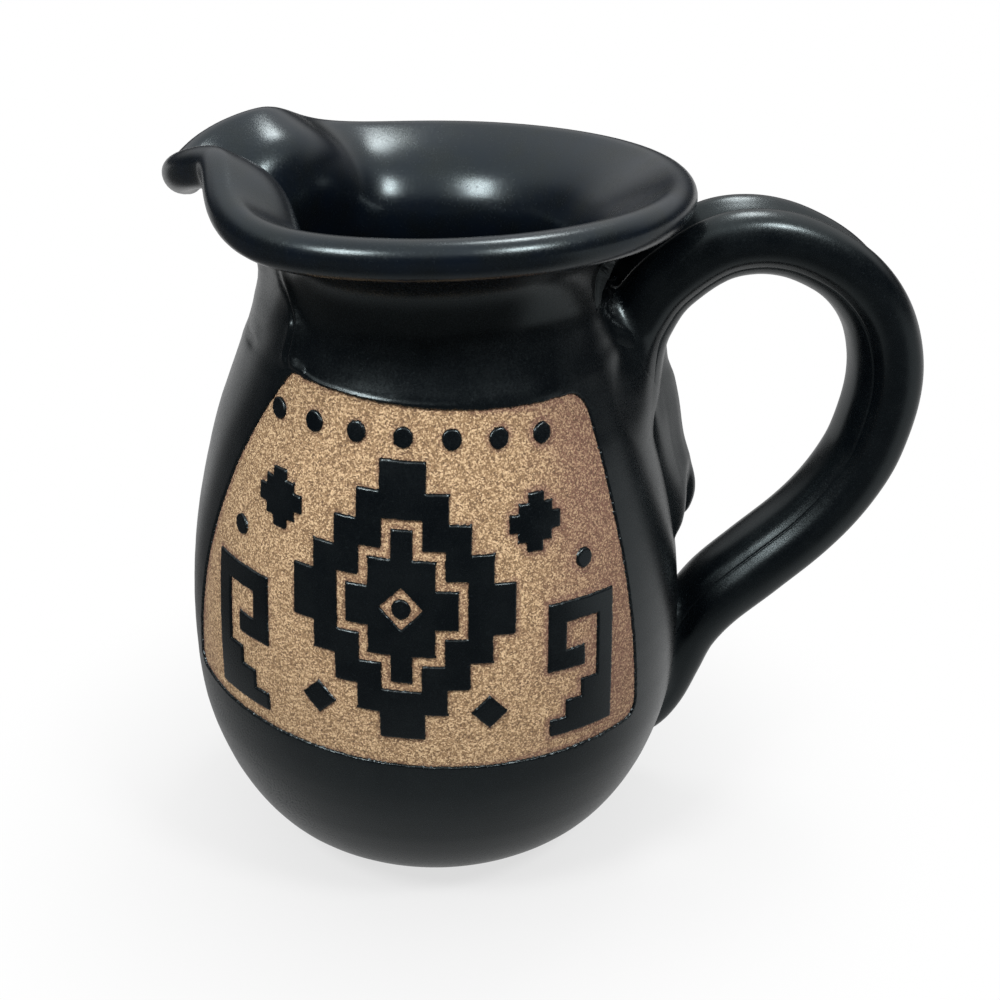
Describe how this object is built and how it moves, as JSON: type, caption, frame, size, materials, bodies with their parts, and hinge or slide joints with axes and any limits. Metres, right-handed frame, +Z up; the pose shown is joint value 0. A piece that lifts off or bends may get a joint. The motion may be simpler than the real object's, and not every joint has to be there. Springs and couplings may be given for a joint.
{
  "type": "stoneware pitcher",
  "caption": "Thrown stoneware pitcher with a rolled rim, a pulled spout, a two-lobed strap handle and raised glaze figures on a bare clay panel.",
  "frame": {"origin": "centre of the flat foot, on the axis that the pot was thrown about", "axes": "+Z up along the pot's axis, +X towards the handle, the spout towards -X turned 9 degrees to +Y, the bare panel towards -Y"},
  "size_m": [0.1582, 0.1087, 0.158],
  "materials": {
    "bare_clay": "matte, sand-blasted, with fine grains",
    "outer_glaze": "satin blue-black glaze",
    "liner_glaze": "glossy blue-black glaze"
  },
  "bodies": {
    "root": {"clay_body": "bare_clay", "liner_glaze": "liner_glaze", "outer_glaze": "outer_glaze", "handle_strap": "outer_glaze", "thumb_pad": "outer_glaze", "lower_tail": "outer_glaze", "diamond_ring": "outer_glaze", "diamond_heart": "outer_glaze", "diamond_eye": "outer_glaze", "fret_left": "outer_glaze", "cross_left": "outer_glaze", "side_dot_left": "outer_glaze", "small_diamond_left": "outer_glaze", "fret_right": "outer_glaze", "cross_right": "outer_glaze", "side_dot_right": "outer_glaze", "small_diamond_right": "outer_glaze", "row_dot_1": "outer_glaze", "row_dot_2": "outer_glaze", "row_dot_3": "outer_glaze", "row_dot_4": "outer_glaze", "row_dot_5": "outer_glaze", "row_dot_6": "outer_glaze", "row_dot_7": "outer_glaze"}
  },
  "joints": []
}
